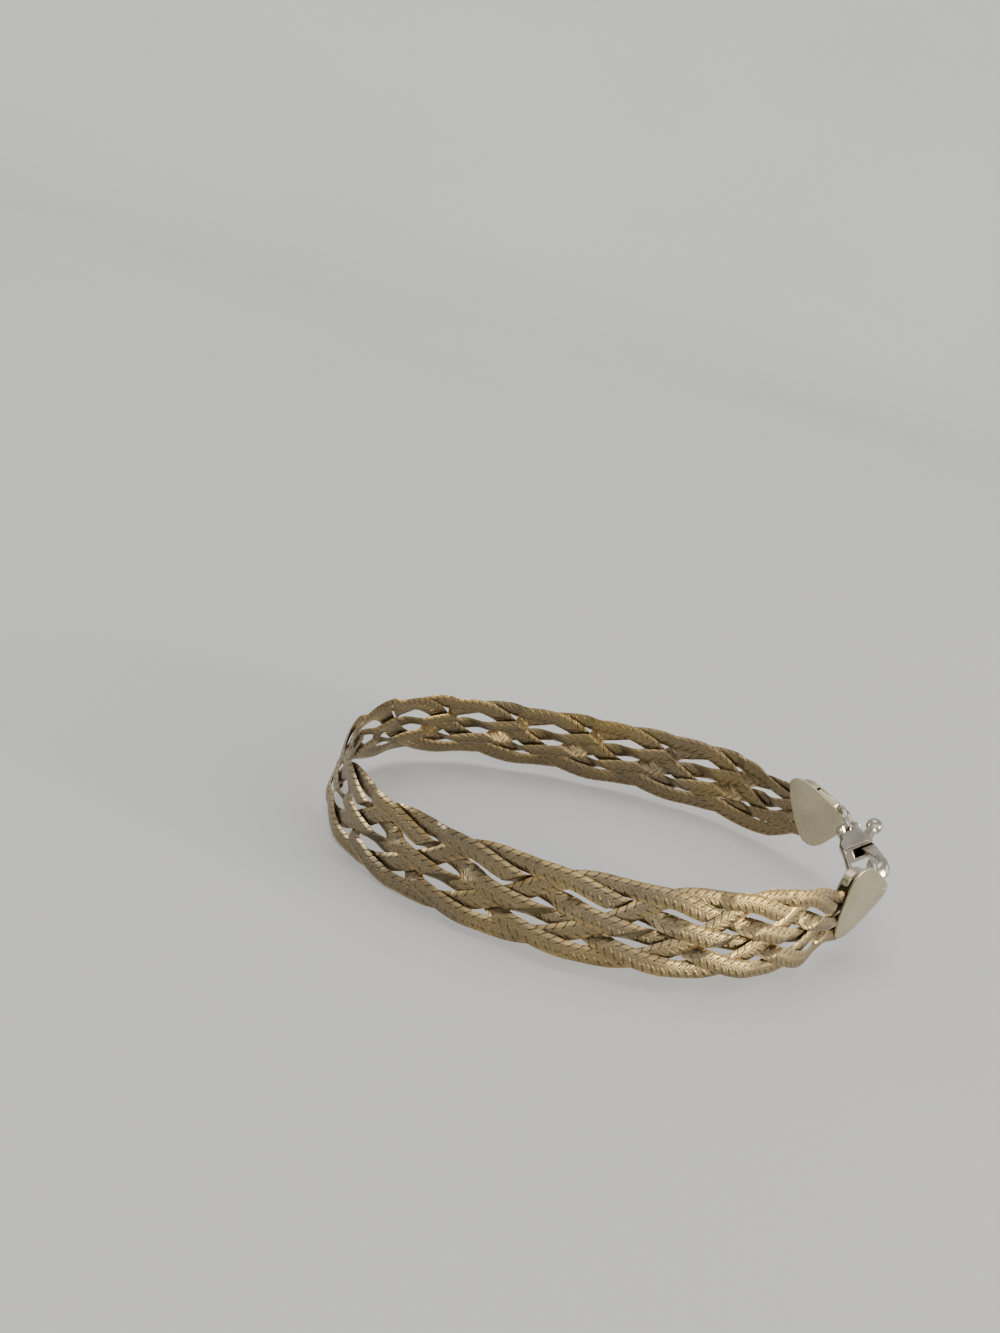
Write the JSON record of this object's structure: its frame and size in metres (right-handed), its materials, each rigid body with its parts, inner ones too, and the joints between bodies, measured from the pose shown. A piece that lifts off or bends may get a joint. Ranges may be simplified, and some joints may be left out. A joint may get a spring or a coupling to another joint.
{
  "type": "herringbone chain bracelet",
  "caption": "Bracelet braided from flat herringbone chains, with leaf-shaped end caps, jump rings and a lobster clasp, held in the form it has when worn.",
  "frame": {"origin": "centre of the wrist opening, at mid height of the band", "axes": "+Z along the wrist towards the hand-side edge shown uppermost, -Y towards the front run that the picture shows, +X towards the clasp"},
  "size_m": [0.0653, 0.0593, 0.0118],
  "materials": {
    "herringbone": "satin silver herringbone links with a warm tarnish, brighter along the edges",
    "polished_silver": "polished silver, softly worn"
  },
  "bodies": {
    "band": {"strand_1": "herringbone", "strand_2": "herringbone", "strand_3": "herringbone", "strand_4": "herringbone", "strand_5": "herringbone", "strand_6": "herringbone", "end_cap_a": "polished_silver", "end_cap_b": "polished_silver", "link_ring_a": "polished_silver", "link_ring_b": "polished_silver", "clasp_body": "polished_silver"},
    "lever": {"clasp_lever": "polished_silver"}
  },
  "joints": [
    {"name": "lever_hinge", "type": "hinge", "parent": "band", "child": "lever", "pos_m": [0.02933, -0.00697, 0.00356], "axis": [0.5868, -0.1445, -0.7967], "range_deg": [0, 24], "stiffness_Nm_per_rad": 0.0005, "springref_deg": -5.73}
  ]
}
